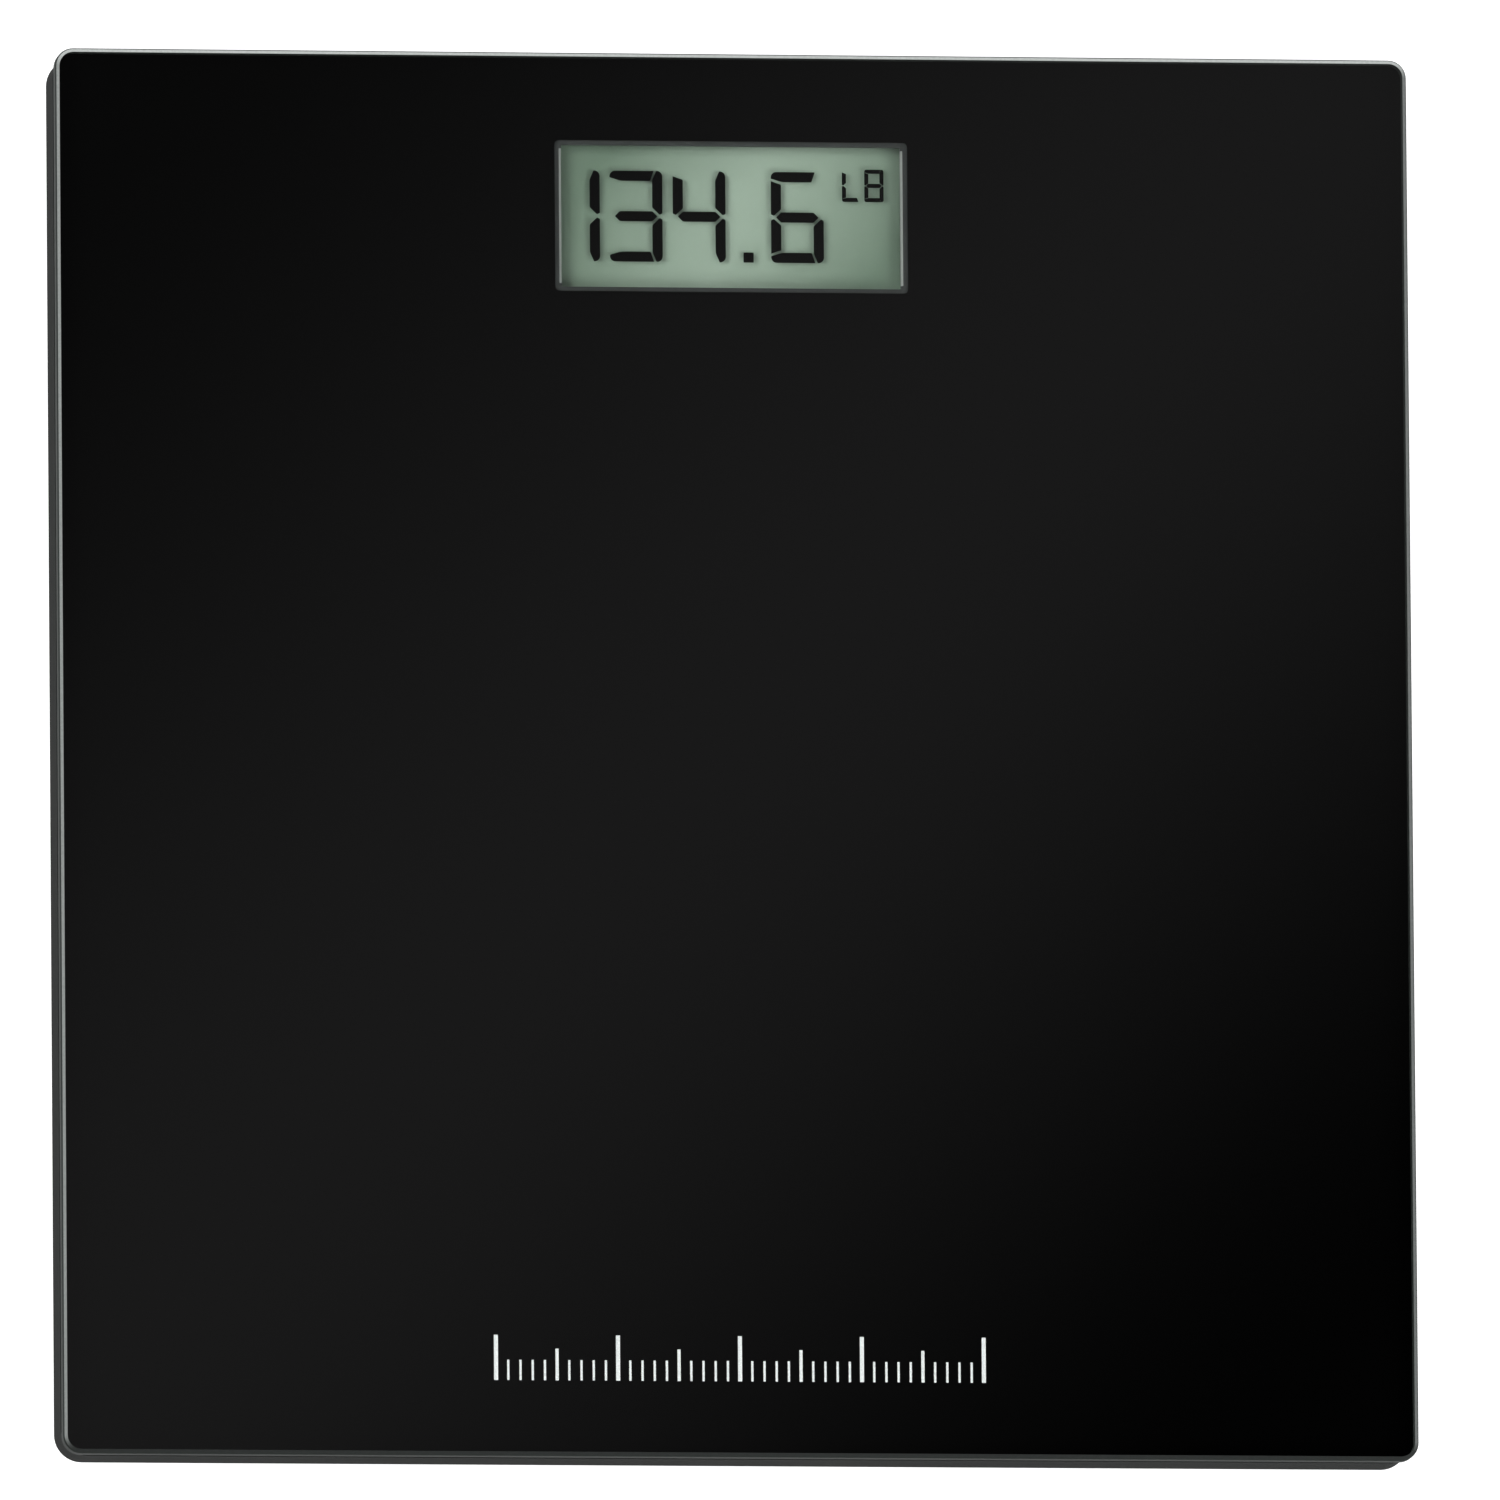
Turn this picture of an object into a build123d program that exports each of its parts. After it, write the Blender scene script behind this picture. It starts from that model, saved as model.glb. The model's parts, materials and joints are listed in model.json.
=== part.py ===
from build123d import *

import os

# A digital bathroom scale: a toughened glass platform, printed black underneath, is bonded on a shallow
# moulded tray. Four load cells in the tray's corners carry the platform on round feet. The display looks
# up through a window in the print, near the back edge.
#
# Millimetres. +Z is up, +X is the user's right, +Y is the display end. The origin is on the floor,
# under the middle of the platform.

# Platform: glass, its print and the tape under it
PLATFORM_WIDTH = 300.0
PLATFORM_DEPTH = 311.0
GLASS_THICKNESS = 5.0
GLASS_CORNER = 4.0
GLASS_ARRIS = 0.7
PRINT_THICKNESS = 0.1
PRINT_MARGIN = 0.9
TAPE_THICKNESS = 0.3
TAPE_MARGIN = 0.8

# Row of tick marks in the print, near the front edge: sizes of a small, a fifth and a tenth tick
TICK_COUNT = 41
TICK_PITCH = 2.7
TICK_FROM_FRONT = 17.0
TICK_HEIGHTS = (4.5, 7.0, 10.0)
TICK_WIDTHS = (0.5, 0.7, 0.9)

# Tray
TRAY_HEIGHT = 15.0
TRAY_CORNER = 6.0
TRAY_WALL = 2.4
TRAY_FLOOR = 2.0
TRAY_BOTTOM_EDGE = 1.2
BOND_RIB_INSET = 6.2
BOND_RIB_WALL = 1.8
STIFFENER_WALL = 1.6
STIFFENER_HEIGHT = 4.0
GROOVE_INSET = 12.0
GROOVE_WIDTH = 1.6
GROOVE_DEPTH = 0.4
LABEL_WIDTH = 70.0
LABEL_DEPTH = 30.0
LABEL_RECESS = 0.3

# Feet and load cells
FOOT_STAND = 3.4
FOOT_INSET = 38.0
FOOT_GAP = 0.8
CUP_STAND = 1.2
CUP_FLANGE = 1.9
CUP_FLANGE_TO_POST = 0.66
CUP_FLANGE_THICKNESS = 1.0
CUP_FLANGE_GAP = 0.2
CUP_HUB = 7.0
COLLAR_WIDTH = 3.0
COLLAR_HEIGHT = 0.6
PAD_INSET = 3.0
PAD_THICKNESS = 2.0
CELL_SIZE = 34.0
CELL_CORNER = 4.0
CELL_THICKNESS = 2.0
CELL_RING = 5.0
CELL_ABOVE_FLOOR = 2.6
CELL_TONGUE = 16.0
CELL_BRIDGE = 7.0
CELL_POST_RADIUS = 1.5
CELL_POST_INSET = 1.4
HOLDER_WALL = 2.2
HOLDER_ROOF = 2.0
HOLDER_LIP = 4.5

# Display, seen through the window in the print
DISPLAY_FROM_BACK = 35.8
WINDOW_WIDTH = 78.3
WINDOW_DEPTH = 33.5
VIEW_WIDTH = 75.3
VIEW_DEPTH = 31.5
BEZEL_WIDTH = 92.0
BEZEL_DEPTH = 46.0
BEZEL_WALL = 1.6
BEZEL_ROOF = 1.2
BEZEL_BEVEL = 0.5
GASKET_THICKNESS = 0.6
POLARISER_THICKNESS = 0.2
LCD_WIDTH = 86.0
LCD_DEPTH = 41.0
LCD_LEDGE = 3.0
LCD_GLASS = 1.1
LCD_CELL = 0.1
DIGIT_WIDTH = 11.7
DIGIT_HEIGHT = 20.2
DIGIT_STROKE = 2.25
UNIT_WIDTH = 4.15
UNIT_HEIGHT = 7.1
UNIT_STROKE = 0.78

# Each digit: its lit segments, its left edge from the middle of the display and the cut of its top left
DIGITS = (
    ("bc", -28.9 - DIGIT_WIDTH, 0.9),
    ("abcdg", -26.7, 0.9),
    ("bcfg", -12.7, 0.5),
    ("acdefg", 9.1, 0.9),
)
DIGITS_BOTTOM = -9.85
POINT_X = 4.05
UNIT_LETTERS = (("def", 24.97), ("abcdefg", 29.95))
UNIT_BOTTOM = 3.9

# Circuit board and its parts
BOARD_WIDTH = 96.0
BOARD_DEPTH = 54.0
BOARD_THICKNESS = 1.6
BOARD_BELOW_DISPLAY = 1.2
BOARD_POST_RADIUS = 2.3
SCREW_SHANK = 1.0
SCREW_HEAD = 1.8
SCREW_HEAD_HEIGHT = 1.4
SCREW_LENGTH = 8.0
EAR_THICKNESS = 1.5
EAR_WIDTH = 6.0
FIT = 0.05

# Unit button and its switch
BUTTON_X = -32.0
BUTTON_FROM_DISPLAY = 6.0
BUTTON_RADIUS = 4.0
BUTTON_SINK = 0.5
BUTTON_FLANGE = 1.5
BUTTON_FLANGE_THICKNESS = 1.0
BUTTON_GAP = 0.2
BUTTON_TRAVEL = 0.4
SWITCH_SIZE = 6.0
SWITCH_HEIGHT = 3.5
PLUNGER_RADIUS = 1.7
PLUNGER_STAND = 0.7
PLUNGER_LENGTH = 1.4

# Battery compartment, which opens under the tray
COIN_RADIUS = 10.0
COIN_THICKNESS = 3.2
COIN_GAP = 0.5
COIN_ABOVE_DOOR = 0.3
BATTERY_FROM_BOARD = 5.7
BATTERY_BOX_SIDE = 5.0
BATTERY_BOX_END = 7.0
DOOR_OVERLAP = 4.0
DOOR_THICKNESS = 1.6
DOOR_GAP = 0.3
DOOR_SINK = 0.1
HINGE_BARREL = 1.5
HINGE_PIN = 1.0
HINGE_PIN_LENGTH = 1.8
HINGE_CLEARANCE = 0.1
HINGE_FROM_FRONT = 3.5
DOOR_FROM_BACK = 4.0
LATCH_WIDTH = 8.0
CONTACT_SHEET = 0.3
CONTACT_WIDTH = 5.0

# Wires
WIRE_RADIUS = 0.45
WIRE_PITCH = 1.1
WIRE_BEND = 2.5
WIRE_LANDING = 8.3
WIRE_RUN_X = 60.0

# Heights, from the floor up
tray_bottom = FOOT_STAND
floor_top = tray_bottom + TRAY_FLOOR
tray_top = tray_bottom + TRAY_HEIGHT
print_bottom = tray_top + TAPE_THICKNESS
glass_bottom = print_bottom + PRINT_THICKNESS
glass_top = glass_bottom + GLASS_THICKNESS
cell_bottom = floor_top + CELL_ABOVE_FLOOR
cell_top = cell_bottom + CELL_THICKNESS
bezel_top = print_bottom - GASKET_THICKNESS
polariser_top = bezel_top - BEZEL_ROOF
lcd_top = polariser_top - POLARISER_THICKNESS
cell_layer_top = lcd_top - LCD_GLASS
cell_layer_bottom = cell_layer_top - LCD_CELL
rear_glass_bottom = cell_layer_bottom - LCD_GLASS
reflector_bottom = rear_glass_bottom - POLARISER_THICKNESS
board_top = reflector_bottom - BOARD_BELOW_DISPLAY
board_bottom = board_top - BOARD_THICKNESS
board_post = board_bottom - floor_top
wire_floor = floor_top + WIRE_RADIUS + 0.1

# Places in plan
foot_x = PLATFORM_WIDTH / 2 - FOOT_INSET
foot_y = PLATFORM_DEPTH / 2 - FOOT_INSET
corners = {
    "front_left": (-foot_x, -foot_y),
    "front_right": (foot_x, -foot_y),
    "back_left": (-foot_x, foot_y),
    "back_right": (foot_x, foot_y),
}
display_y = PLATFORM_DEPTH / 2 - DISPLAY_FROM_BACK
board_front = display_y - BOARD_DEPTH / 2
ear_x = BEZEL_WIDTH / 2 - EAR_WIDTH
ear_y = (BEZEL_DEPTH + BOARD_DEPTH) / 4
screw_places = [(sx * ear_x, display_y + sy * ear_y) for sx in (-1, 1) for sy in (-1, 1)]
button_y = display_y - BUTTON_FROM_DISPLAY
door_width = 2 * (COIN_RADIUS + DOOR_OVERLAP)
battery_box_width = door_width + 2 * BATTERY_BOX_SIDE
battery_box_depth = 2 * (COIN_RADIUS + COIN_GAP + BATTERY_BOX_END)
battery_y = board_front - BATTERY_FROM_BOARD - battery_box_depth / 2
hinge_y = battery_y - battery_box_depth / 2 + HINGE_FROM_FRONT
door_back = battery_y + battery_box_depth / 2 - DOOR_FROM_BACK
door_bottom = tray_bottom + DOOR_SINK
door_top = door_bottom + DOOR_THICKNESS
hinge_z = door_bottom + HINGE_BARREL
coin_bottom = door_top + COIN_ABOVE_DOOR
coin_top = coin_bottom + COIN_THICKNESS
battery_roof = coin_top + 1.2
contact_tab_top = battery_roof + 2.8
positive_tab_x = COIN_RADIUS + 1.2
negative_tab_x = 3.0 - COIN_RADIUS
post_reach = CELL_SIZE / 2 - CELL_POST_INSET
flange_radius = post_reach * 2**0.5 - CELL_POST_RADIUS - CUP_FLANGE_TO_POST
cup_radius = flange_radius - CUP_FLANGE
pad_radius = cup_radius - PAD_INSET
cup_hole = cup_radius + FOOT_GAP
flange_bottom = floor_top + CUP_FLANGE_GAP
holder_size = CELL_SIZE + 2 * (HOLDER_WALL + FOOT_GAP / 2)
stiffener_x = foot_x - holder_size / 2 - 20.0
wire_y = CELL_SIZE / 2 - CELL_RING - 4.0


def block(width, depth, bottom, top, x=0.0, y=0.0, corner=0.0):
    """An upright block between two heights, with rounded vertical corners if asked."""
    outline = RectangleRounded(width, depth, corner) if corner else Rectangle(width, depth)
    return extrude(Pos(x, y, bottom) * outline, top - bottom)


def disc(radius, bottom, top, x=0.0, y=0.0):
    """An upright cylinder between two heights."""
    return Pos(x, y, (bottom + top) / 2) * Cylinder(radius, top - bottom)


def rods(starts, radius, length, bottom):
    """Upright rods that all start at one height."""
    return [disc(radius, bottom, bottom + length, x, y) for x, y in starts]


# Platform


def glass_platform():
    plate = block(PLATFORM_WIDTH, PLATFORM_DEPTH, glass_bottom, glass_top, corner=GLASS_CORNER)
    faces = plate.faces().sort_by(Axis.Z)
    return chamfer(faces[0].edges() + faces[-1].edges(), GLASS_ARRIS)


def graduation_marks():
    """A row of plain ticks along the front edge: every fifth is taller and every tenth tallest."""
    base_y = -PLATFORM_DEPTH / 2 + TICK_FROM_FRONT
    ticks = []
    for i in range(TICK_COUNT):
        rank = 2 if i % 10 == 0 else 1 if i % 5 == 0 else 0
        x = (i - (TICK_COUNT - 1) / 2) * TICK_PITCH
        y = base_y + TICK_HEIGHTS[rank] / 2
        ticks.append(block(TICK_WIDTHS[rank], TICK_HEIGHTS[rank], print_bottom, glass_bottom, x, y))
    return ticks


def black_backprint(ticks):
    width = PLATFORM_WIDTH - 2 * PRINT_MARGIN
    depth = PLATFORM_DEPTH - 2 * PRINT_MARGIN
    sheet = block(width, depth, print_bottom, glass_bottom, corner=GLASS_CORNER - PRINT_MARGIN)
    window = block(WINDOW_WIDTH, WINDOW_DEPTH, print_bottom, glass_bottom, 0, display_y, corner=1.0)
    return sheet - window - ticks


def bonding_tape():
    """A frame of tape on the tray's rim and bond rib, and a square of it on each cell holder."""
    inner = BOND_RIB_INSET + BOND_RIB_WALL + 0.6
    frame = block(
        PLATFORM_WIDTH - 2 * TAPE_MARGIN,
        PLATFORM_DEPTH - 2 * TAPE_MARGIN,
        tray_top,
        print_bottom,
        corner=TRAY_CORNER - TAPE_MARGIN,
    )
    frame -= block(PLATFORM_WIDTH - 2 * inner, PLATFORM_DEPTH - 2 * inner, tray_top, print_bottom)
    pad = holder_size - 4
    return [frame] + [block(pad, pad, tray_top, print_bottom, x, y, 2.0) for x, y in corners.values()]


# Tray


def tray_stiffeners():
    """Low ribs on the floor, kept clear of the feet, with a way cut through them for the wires."""
    rib_top = floor_top + STIFFENER_HEIGHT
    inside = 2 * BOND_RIB_INSET
    length = PLATFORM_DEPTH - inside
    width = PLATFORM_WIDTH - inside
    front = foot_y - holder_size / 2 - 10
    ribs = [block(STIFFENER_WALL, length, floor_top, rib_top, s * stiffener_x) for s in (-1, 1)]
    rows = (-front, -front / 3, front / 3)
    ribs += [block(width, STIFFENER_WALL, floor_top, rib_top, 0, y) for y in rows]
    way = 3 * WIRE_PITCH + 2.5
    ways = []
    for side in (-1, 1):
        ways.append(block(way, PLATFORM_DEPTH, floor_top, rib_top, side * WIRE_RUN_X))
        for y in (-foot_y, foot_y):
            ways.append(block(10, way, floor_top, rib_top, side * stiffener_x, y + wire_y))
    return [rib - ways for rib in ribs]


def battery_box():
    """The coin cell's housing, which stands on the tray's floor around the door's opening."""
    top = battery_roof + 1.6
    return block(battery_box_width, battery_box_depth, tray_bottom + 1, top, 0, battery_y, 2.0)


def battery_hollows():
    """What is cut out of the battery box: door recess, hinge, latch, coin pocket and contact slots."""
    recess_front = hinge_y - HINGE_BARREL - 0.4
    recess_back = door_back + DOOR_GAP
    width = door_width + 2 * DOOR_GAP
    depth = recess_back - recess_front
    recess = block(width, depth, tray_bottom, door_top + 0.1, 0, (recess_front + recess_back) / 2)
    barrel = block(width, 2 * HINGE_BARREL + 0.8, tray_bottom, hinge_z + HINGE_BARREL + 0.4, 0, hinge_y)
    pin_length = door_width + 2 * HINGE_PIN_LENGTH + 2 * DOOR_GAP
    pins = Pos(0, hinge_y, hinge_z) * Rot(0, 90, 0) * Cylinder(HINGE_PIN + HINGE_CLEARANCE, pin_length)
    latch_way = block(LATCH_WIDTH + 0.6, 2.0, door_top, door_top + 3.0, 0, door_back - 2.0)
    latch_catch = block(LATCH_WIDTH + 0.6, 2.3, door_top + 1.3, door_top + 2.7, 0, door_back - 1.85)
    thumb = block(12, 4.2, tray_bottom, tray_bottom + 1.2, 0, recess_back + 2.1)
    pocket = disc(COIN_RADIUS + COIN_GAP, door_top, battery_roof, 0, battery_y)
    side_slot = block(2.4, CONTACT_WIDTH + 1, coin_bottom, battery_roof, COIN_RADIUS + 0.6, battery_y)
    high = battery_roof + 2
    tab_slots = [
        block(0.8, CONTACT_WIDTH + 0.4, battery_roof - 1, high, x, battery_y)
        for x in (positive_tab_x, negative_tab_x)
    ]
    return [recess, barrel, pins, latch_way, latch_catch, thumb, pocket, side_slot] + tab_slots


def base_tray():
    shell = block(PLATFORM_WIDTH, PLATFORM_DEPTH, tray_bottom, tray_top, corner=TRAY_CORNER)
    shell = fillet(shell.faces().sort_by(Axis.Z)[0].edges(), TRAY_BOTTOM_EDGE)
    walls = 2 * TRAY_WALL
    inner_corner = TRAY_CORNER - TRAY_WALL
    hollow = block(PLATFORM_WIDTH - walls, PLATFORM_DEPTH - walls, floor_top, tray_top, corner=inner_corner)
    rib_out = 2 * BOND_RIB_INSET
    rib_in = 2 * (BOND_RIB_INSET + BOND_RIB_WALL)
    bond_rib = block(PLATFORM_WIDTH - rib_out, PLATFORM_DEPTH - rib_out, floor_top, tray_top, corner=2.0)
    bond_rib -= block(PLATFORM_WIDTH - rib_in, PLATFORM_DEPTH - rib_in, floor_top, tray_top)
    tray = shell - hollow + bond_rib + tray_stiffeners()

    for x, y in corners.values():
        posts = [(x + dx * post_reach, y + dy * post_reach) for dx in (-1, 1) for dy in (-1, 1)]
        tray += rods(posts, CELL_POST_RADIUS, CELL_ABOVE_FLOOR, floor_top)
        tray += disc(cup_hole + COLLAR_WIDTH, tray_bottom - COLLAR_HEIGHT, tray_bottom, x, y)
        tray -= disc(cup_hole, tray_bottom - COLLAR_HEIGHT, floor_top, x, y)

    tray += rods(screw_places, BOARD_POST_RADIUS, board_post, floor_top)
    tray -= rods(screw_places, SCREW_SHANK + FIT, board_post, floor_top + 0.8)

    guide = BUTTON_RADIUS + BUTTON_FLANGE + 0.2
    tray += disc(guide + 1.4, floor_top, floor_top + BUTTON_FLANGE_THICKNESS + 0.6, BUTTON_X, button_y)
    tray -= disc(guide, floor_top, floor_top + BUTTON_FLANGE_THICKNESS + 0.6, BUTTON_X, button_y)
    tray -= disc(BUTTON_RADIUS + 0.2, tray_bottom, floor_top, BUTTON_X, button_y)
    dish = Cone(BUTTON_RADIUS + 3, BUTTON_RADIUS + 0.2, 0.8)
    tray -= Pos(BUTTON_X, button_y, tray_bottom + 0.4) * dish

    tray += battery_box()
    tray -= battery_hollows()

    groove_bottom = tray_bottom + GROOVE_DEPTH
    outer = 2 * GROOVE_INSET
    inner = 2 * (GROOVE_INSET + GROOVE_WIDTH)
    groove = block(PLATFORM_WIDTH - outer, PLATFORM_DEPTH - outer, tray_bottom, groove_bottom, corner=10.0)
    groove -= block(PLATFORM_WIDTH - inner, PLATFORM_DEPTH - inner, tray_bottom, groove_bottom, corner=8.4)
    label = block(LABEL_WIDTH, LABEL_DEPTH, tray_bottom, tray_bottom + LABEL_RECESS, 0, -battery_y / 2, 3.0)
    return tray - groove - label


# Feet and load cells


def load_cell(x, y):
    """A stamped plate: a square ring whose middle tongue hangs on one narrow bridge."""
    window = CELL_SIZE - 2 * CELL_RING
    plate = block(CELL_SIZE, CELL_SIZE, cell_bottom, cell_top, x, y, CELL_CORNER)
    plate -= block(window, window, cell_bottom, cell_top, x, y, 1.5)
    plate += block(CELL_TONGUE, CELL_TONGUE - 4, cell_bottom, cell_top, x, y - 2, 2.0)
    bridge_end = CELL_SIZE / 2 - CELL_RING + 0.5
    plate += block(CELL_BRIDGE, bridge_end, cell_bottom, cell_top, x, y + bridge_end / 2)
    return plate


def gauge_coating(x, y):
    """The silicone that covers the strain gauge on the bridge."""
    blob = block(8.0, 5.0, cell_top, cell_top + 1.2, x, y + wire_y, 2.0)
    return fillet(blob.faces().sort_by(Axis.Z)[-1].edges(), 0.6)


def cell_holder(x, y):
    """The moulded cap that sits on the cell's ring and carries the glass."""
    pocket = CELL_SIZE + FOOT_GAP
    well = CELL_SIZE - 2 * HOLDER_LIP
    side = -1 if x > 0 else 1
    cap = block(holder_size, holder_size, cell_bottom, tray_top, x, y, 3.0)
    cap -= block(pocket, pocket, cell_bottom, cell_top, x, y, CELL_CORNER)
    cap -= block(well, well, cell_top, tray_top - HOLDER_ROOF, x, y, 2.0)
    reach = holder_size / 2 + 1
    way = 3 * WIRE_PITCH + 1.8
    return cap - block(reach, way, cell_bottom, cell_top + 2.2, x + side * reach / 2, y + wire_y)


def foot_cup(x, y):
    """The hard foot: it hangs on its flange and pushes the cell's tongue with its hub."""
    cup = disc(cup_radius, CUP_STAND, flange_bottom + CUP_FLANGE_THICKNESS, x, y)
    cup = fillet(cup.faces().sort_by(Axis.Z)[0].edges(), 0.5)
    flange_top = flange_bottom + CUP_FLANGE_THICKNESS
    cup += disc(flange_radius, flange_bottom, flange_top, x, y)
    cup += disc(CUP_HUB, flange_top, cell_bottom, x, y)
    return cup - disc(pad_radius + 0.1, CUP_STAND, PAD_THICKNESS, x, y)


def foot_pad(x, y):
    """The rubber pad in the cup, with two rings moulded in its sole."""
    pad = disc(pad_radius, 0, PAD_THICKNESS, x, y)
    pad = chamfer(pad.faces().sort_by(Axis.Z)[0].edges(), 0.5)
    for radius in (0.43 * pad_radius, 0.73 * pad_radius):
        pad -= disc(radius + 0.6, 0, 0.4, x, y) - disc(radius - 0.6, 0, 0.4, x, y)
    return pad


# Display


def display_gasket():
    width = BEZEL_WIDTH - 2
    frame = block(width, BEZEL_DEPTH - 2, bezel_top, print_bottom, 0, display_y, 1.5)
    return frame - block(WINDOW_WIDTH + 1, WINDOW_DEPTH + 1, bezel_top, print_bottom, 0, display_y, 1.0)


def display_bezel():
    """The frame that holds the display over the board, with an ear for each screw."""
    frame = block(BEZEL_WIDTH, BEZEL_DEPTH, board_top, bezel_top, 0, display_y, 2.0)
    inside = 2 * BEZEL_WALL
    frame -= block(BEZEL_WIDTH - inside, BEZEL_DEPTH - inside, board_top, polariser_top, 0, display_y)
    opening = block(VIEW_WIDTH, VIEW_DEPTH, polariser_top, bezel_top, 0, display_y)
    bevel = Rot(0, 45, 0) * Box(BEZEL_BEVEL * 2**0.5, VIEW_DEPTH - 1.5, BEZEL_BEVEL * 2**0.5)
    bevels = [Pos(s * VIEW_WIDTH / 2, display_y, bezel_top) * bevel for s in (-1, 1)]
    frame = frame - opening - bevels
    ear_depth = BOARD_DEPTH / 2 - BEZEL_DEPTH / 2 + 0.5
    ear_top = board_top + EAR_THICKNESS
    for x, y in screw_places:
        frame += block(EAR_WIDTH, ear_depth, board_top, ear_top, x, y)
        frame -= disc(SCREW_SHANK + FIT, board_top, ear_top, x, y)
    return frame


def lcd_front_polariser():
    return block(VIEW_WIDTH + 3, VIEW_DEPTH + 3, lcd_top, polariser_top, 0, display_y)


def lcd_front_glass():
    return block(LCD_WIDTH, LCD_DEPTH, cell_layer_top, lcd_top, 0, display_y)


def lcd_rear_glass():
    depth = LCD_DEPTH - 2 * LCD_LEDGE
    return block(LCD_WIDTH, depth, rear_glass_bottom, cell_layer_bottom, 0, display_y)


def lcd_edge_seal():
    depth = LCD_DEPTH - 2 * LCD_LEDGE
    seal = block(LCD_WIDTH, depth, cell_layer_bottom, cell_layer_top, 0, display_y)
    return seal - block(LCD_WIDTH - 2, depth - 2, cell_layer_bottom, cell_layer_top, 0, display_y)


def lcd_reflector():
    return block(VIEW_WIDTH + 3, VIEW_DEPTH + 2, reflector_bottom, rear_glass_bottom, 0, display_y)


def zebra_strips():
    depth = LCD_LEDGE - 1
    y = LCD_DEPTH / 2 - LCD_LEDGE / 2
    return [block(LCD_WIDTH - 6, depth, board_top, cell_layer_top, 0, display_y + s * y) for s in (-1, 1)]


def outline(points, rounded=None, radius=0.0):
    """A flat face on the points, with one of its corners rounded if asked."""
    face = Polygon(*points, align=None)
    if rounded is None:
        return face
    corner = face.vertices().sort_by_distance(Vector(*rounded, 0))[0]
    return fillet(corner, radius)


def flipped(points, height):
    """The same outline turned upside down within a digit of this height."""
    return [(x, height - y) for x, y in points]


def seven_segments(lit, width, height, stroke, top_left_cut=0.9):
    """The lit segments of one digit, lettered a to g clockwise from the top with g in the middle."""
    w, h, t = width, height, stroke
    m = h / 2
    top = [(0, h - 0.66 * t), (0, h), (w - 0.85 * t, h), (w - 1.2 * t, h - t), (1.1 * t, h - t)]
    upper_right = [
        (w - t, m + 0.86 * t),
        (w - 0.28 * t, m + 0.16 * t),
        (w, m + 0.3 * t),
        (w, h),
        (w - 0.6 * t, h),
        (w - t, h - 0.92 * t),
    ]
    upper_left = [
        (0, h - top_left_cut * t),
        (t, h - (top_left_cut + 0.35) * t),
        (t, m + 0.8 * t),
        (0.3 * t, m + 0.16 * t),
        (0, m + 0.3 * t),
    ]
    middle = [
        (0.5 * t, m),
        (t, m + t / 2),
        (w - t, m + t / 2),
        (w - 0.5 * t, m),
        (w - t, m - t / 2),
        (t, m - t / 2),
    ]
    shapes = {
        "a": (top, (0, h)),
        "b": (upper_right, (w, h)),
        "c": (flipped(upper_right, h), (w, 0)),
        "d": (flipped(top, h), (0, 0)),
        "e": (flipped(upper_left, h), None),
        "f": (upper_left, None),
        "g": (middle, None),
    }
    return [outline(*shapes[letter], 0.55 * t) for letter in lit]


def lcd_segments():
    faces = []
    for lit, left, cut in DIGITS:
        place = Pos(left, DIGITS_BOTTOM)
        faces += [place * f for f in seven_segments(lit, DIGIT_WIDTH, DIGIT_HEIGHT, DIGIT_STROKE, cut)]
    faces.append(Pos(POINT_X, DIGITS_BOTTOM + DIGIT_STROKE / 2) * Rectangle(DIGIT_STROKE, DIGIT_STROKE))
    for lit, left in UNIT_LETTERS:
        place = Pos(left, UNIT_BOTTOM)
        faces += [place * f for f in seven_segments(lit, UNIT_WIDTH, UNIT_HEIGHT, UNIT_STROKE)]
    return [extrude(Pos(0, display_y, cell_layer_bottom) * f, LCD_CELL, dir=(0, 0, 1)) for f in faces]


# Circuit board


def circuit_board():
    board = block(BOARD_WIDTH, BOARD_DEPTH, board_bottom, board_top, 0, display_y, 1.0)
    return board - rods(screw_places, SCREW_SHANK + FIT, BOARD_THICKNESS, board_bottom)


def board_screws():
    """Pan-head screws with a cross recess, through the bezel's ears and the board into the posts."""
    seat = board_top + EAR_THICKNESS
    head_top = seat + SCREW_HEAD_HEIGHT
    screw = disc(SCREW_HEAD, seat, head_top)
    screw = fillet(screw.faces().sort_by(Axis.Z)[-1].edges(), 0.5)
    screw -= block(2.4, 0.6, head_top - 0.6, head_top)
    screw -= block(0.6, 2.4, head_top - 0.6, head_top)
    screw += disc(SCREW_SHANK, seat - SCREW_LENGTH, seat)
    return [Pos(x, y) * screw for x, y in screw_places]


def chip_coating():
    """The black resin drop over the controller chip."""
    drop = disc(6.0, board_bottom - 1.6, board_bottom, 8.0, display_y + 8.0)
    return fillet(drop.faces().sort_by(Axis.Z)[0].edges(), 1.4)


def converter_chip():
    """The converter that reads the load cells, with seven legs on each side."""
    x, y = 12.0, display_y - 8.0
    chip = block(8.6, 3.9, board_bottom - 1.6, board_bottom - 0.1, x, y)
    for i in range(7):
        for side in (-1, 1):
            leg_x = x + (i - 3) * 1.2
            chip += block(0.4, 1.2, board_bottom - 0.8, board_bottom - 0.6, leg_x, y + side * 2.4)
            chip += block(0.4, 0.4, board_bottom - 0.8, board_bottom, leg_x, y + side * 2.9)
    return chip


def board_resistors():
    places = [(-14 + 4 * i, display_y - 16) for i in range(4)]
    places += [(26 + 4 * i, display_y + 4) for i in range(3)]
    return [block(1.25, 2.0, board_bottom - 0.5, board_bottom, x, y) for x, y in places]


def clock_crystal():
    can = Rot(0, 90, 0) * Cylinder(1.5, 8.0)
    return Pos(-10, display_y + 14, board_bottom - 1.5) * can


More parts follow.
